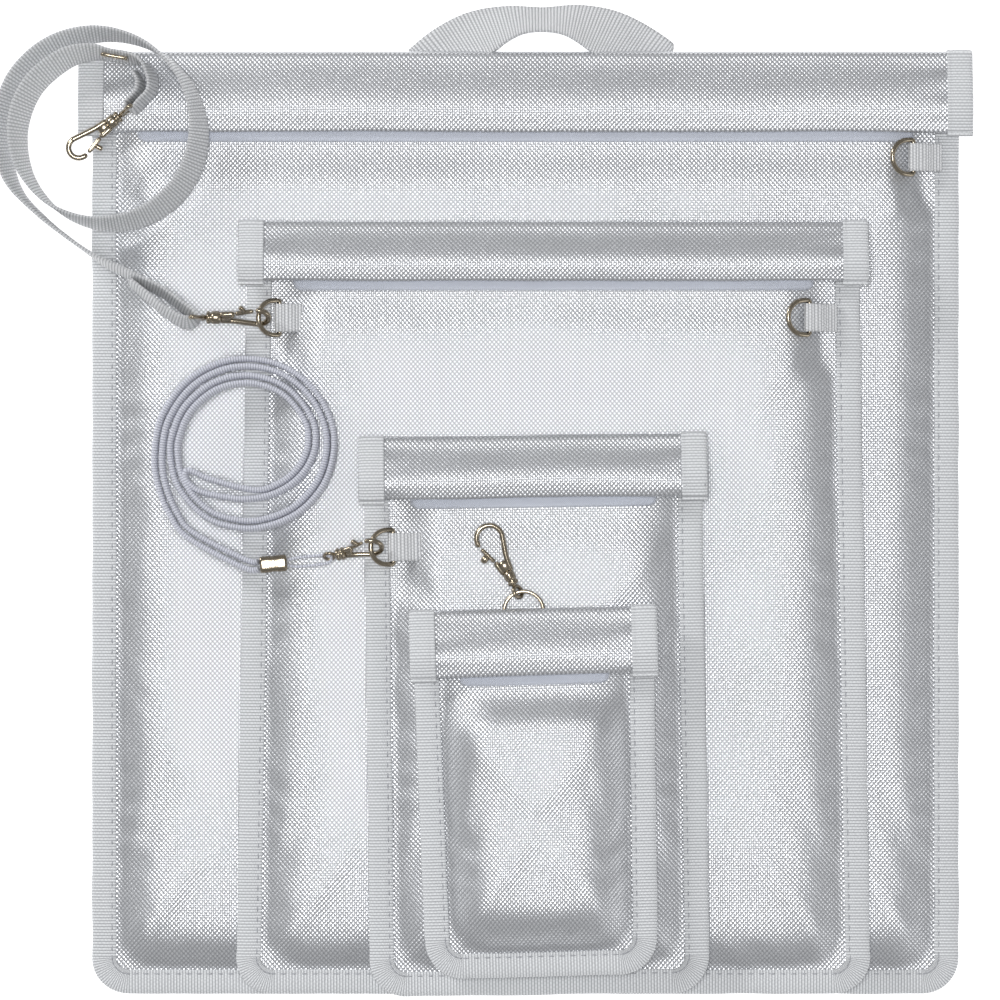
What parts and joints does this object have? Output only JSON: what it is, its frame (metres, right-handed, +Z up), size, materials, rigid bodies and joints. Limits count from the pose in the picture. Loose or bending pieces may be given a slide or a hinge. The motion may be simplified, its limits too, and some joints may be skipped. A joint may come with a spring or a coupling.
{
  "type": "lipo safe bag set",
  "caption": "Nested fireproof battery bags with fold-over hook-and-loop flaps, carry handle, rings, shoulder strap, lanyard and key clip.",
  "frame": {"origin": "on the ground, under the middle of the bags and carry handle without their cords", "axes": "+Z up, +Y towards the flaps and the carry handle, +X towards the side with the spare rings"},
  "size_m": [0.3765, 0.3824, 0.0429],
  "materials": {
    "coated_cloth": "silver coated glass-fibre cloth, satin, fine diamond weave",
    "edge_tape": "light grey ribbed grosgrain tape",
    "loop_tape": "pale blue-white loop pile",
    "hook_tape": "pale hook tape",
    "webbing": "grey ribbed webbing",
    "lanyard_cord": "lavender-grey woven tube cord",
    "plated_metal": "polished plating with warm reflections"
  },
  "bodies": {
    "large_bag": {"large_front_panel": "coated_cloth", "large_back_panel": "coated_cloth", "large_edge_binding": "edge_tape", "large_loop_tape": "loop_tape", "large_right_tab": "webbing"},
    "large_flap": {"large_flap": "coated_cloth", "large_hook_tape": "hook_tape", "large_flap_binding_left": "edge_tape", "large_flap_binding_right": "edge_tape"},
    "large_handle": {"large_handle": "webbing"},
    "large_ring": {"large_right_ring": "plated_metal"},
    "medium_bag": {"medium_front_panel": "coated_cloth", "medium_back_panel": "coated_cloth", "medium_edge_binding": "edge_tape", "medium_loop_tape": "loop_tape", "medium_left_tab": "webbing", "medium_left_ring": "plated_metal", "medium_right_tab": "webbing", "strap_hook_body": "plated_metal", "strap_hook_eye": "plated_metal", "strap_lead": "webbing"},
    "medium_flap": {"medium_flap": "coated_cloth", "medium_hook_tape": "hook_tape", "medium_flap_binding_left": "edge_tape", "medium_flap_binding_right": "edge_tape"},
    "medium_ring": {"medium_right_ring": "plated_metal"},
    "strap_gate": {"strap_hook_gate": "plated_metal"},
    "strap_coil": {"strap_coil": "webbing", "strap_slide": "plated_metal", "loose_hook_eye": "plated_metal"},
    "loose_hook": {"loose_hook_body": "plated_metal"},
    "loose_gate": {"loose_hook_gate": "plated_metal"},
    "small_bag": {"small_front_panel": "coated_cloth", "small_back_panel": "coated_cloth", "small_edge_binding": "edge_tape", "small_loop_tape": "loop_tape", "small_left_tab": "webbing", "small_left_ring": "plated_metal", "lanyard_claw_body": "plated_metal", "lanyard_crimp": "plated_metal", "lanyard_lead": "lanyard_cord", "lanyard_coil": "lanyard_cord"},
    "small_flap": {"small_flap": "coated_cloth", "small_hook_tape": "hook_tape", "small_flap_binding_left": "edge_tape", "small_flap_binding_right": "edge_tape"},
    "claw_lever": {"lanyard_claw_lever": "plated_metal"},
    "tiny_bag": {"tiny_front_panel": "coated_cloth", "tiny_back_panel": "coated_cloth", "tiny_edge_binding": "edge_tape", "tiny_loop_tape": "loop_tape", "tiny_ring_tab": "webbing", "tiny_split_ring": "plated_metal", "key_clip_eye": "plated_metal"},
    "tiny_flap": {"tiny_flap": "coated_cloth", "tiny_hook_tape": "hook_tape", "tiny_flap_binding_left": "edge_tape", "tiny_flap_binding_right": "edge_tape"},
    "key_clip": {"key_clip_body": "plated_metal"},
    "key_gate": {"key_clip_gate": "plated_metal"}
  },
  "joints": [
    {"name": "large_flap_opens", "type": "hinge", "parent": "large_bag", "child": "large_flap", "pos_m": [0, 0.17005, 0.0064], "axis": [-1, 0, 0], "range_deg": [0, 135]},
    {"name": "large_handle_folds", "type": "hinge", "parent": "large_bag", "child": "large_handle", "pos_m": [0.006, 0.17495, 0.00095], "axis": [1, 0, 0], "range_deg": [0, 40]},
    {"name": "large_ring_flips", "type": "hinge", "parent": "large_bag", "child": "large_ring", "pos_m": [0.15, 0.13275, 0.00783], "axis": [0, 1, 0], "range_deg": [0, 100]},
    {"name": "medium_bag_lifts_off", "type": "slide", "parent": "large_bag", "child": "medium_bag", "axis": [0, 0, 1], "range_m": [0, 0.15]},
    {"name": "medium_flap_opens", "type": "hinge", "parent": "medium_bag", "child": "medium_flap", "pos_m": [0.0107, 0.10375, 0.0167], "axis": [-1, 0, 0], "range_deg": [0, 160]},
    {"name": "medium_ring_flips", "type": "hinge", "parent": "medium_bag", "child": "medium_ring", "pos_m": [0.10926, 0.07045, 0.01923], "axis": [0, 1, 0], "range_deg": [0, 100]},
    {"name": "strap_hook_gate_opens", "type": "hinge", "parent": "medium_bag", "child": "strap_gate", "pos_m": [-0.11163, 0.07135, 0.02138], "axis": [0, 0.766, -0.6428], "range_deg": [0, 18], "stiffness_Nm_per_rad": 0.02},
    {"name": "strap_coil_rises", "type": "slide", "parent": "medium_bag", "child": "strap_coil", "axis": [0, 0, 1], "range_m": [0, 0.071]},
    {"name": "loose_hook_swivels", "type": "hinge", "parent": "strap_coil", "child": "loose_hook", "pos_m": [-0.172, 0.13575, 0.0206], "axis": [-0.788, -0.6157, 0], "continuous": true},
    {"name": "loose_hook_gate_opens", "type": "hinge", "parent": "loose_hook", "child": "loose_gate", "pos_m": [-0.1642, 0.14006, 0.0206], "axis": [0, 0, -1], "range_deg": [0, 18], "stiffness_Nm_per_rad": 0.02},
    {"name": "small_bag_lifts_off", "type": "slide", "parent": "medium_bag", "child": "small_bag", "axis": [0, 0, 1], "range_m": [0, 0.15]},
    {"name": "small_flap_opens", "type": "hinge", "parent": "small_bag", "child": "small_flap", "pos_m": [0.00265, 0.02115, 0.0265], "axis": [-0.9999, -0.014, 0], "range_deg": [0, 160]},
    {"name": "claw_lever_opens", "type": "hinge", "parent": "small_bag", "child": "claw_lever", "pos_m": [-0.06591, -0.01854, 0.02865], "axis": [0.0035, 0.7839, -0.6209], "range_deg": [0, 18], "stiffness_Nm_per_rad": 0.02},
    {"name": "tiny_bag_lifts_off", "type": "slide", "parent": "small_bag", "child": "tiny_bag", "axis": [0, 0, 1], "range_m": [0, 0.15]},
    {"name": "tiny_flap_opens", "type": "hinge", "parent": "tiny_bag", "child": "tiny_flap", "pos_m": [0.0027, -0.04525, 0.0363], "axis": [-0.9997, -0.0262, 0], "range_deg": [0, 135]},
    {"name": "key_clip_swivels", "type": "hinge", "parent": "tiny_bag", "child": "key_clip", "pos_m": [-0.01391, -0.01449, 0.03417], "axis": [-0.4677, 0.8796, 0.0872], "range_deg": [-20, 20]},
    {"name": "key_clip_gate_opens", "type": "hinge", "parent": "key_clip", "child": "key_gate", "pos_m": [-0.01112, -0.02294, 0.0334], "axis": [-0.0409, 0.077, -0.9962], "range_deg": [0, 18], "stiffness_Nm_per_rad": 0.02}
  ],
  "couplings": [
    {"joint": "strap_coil_rises", "follows": "large_flap_opens", "m_per_rad": 0.03}
  ]
}
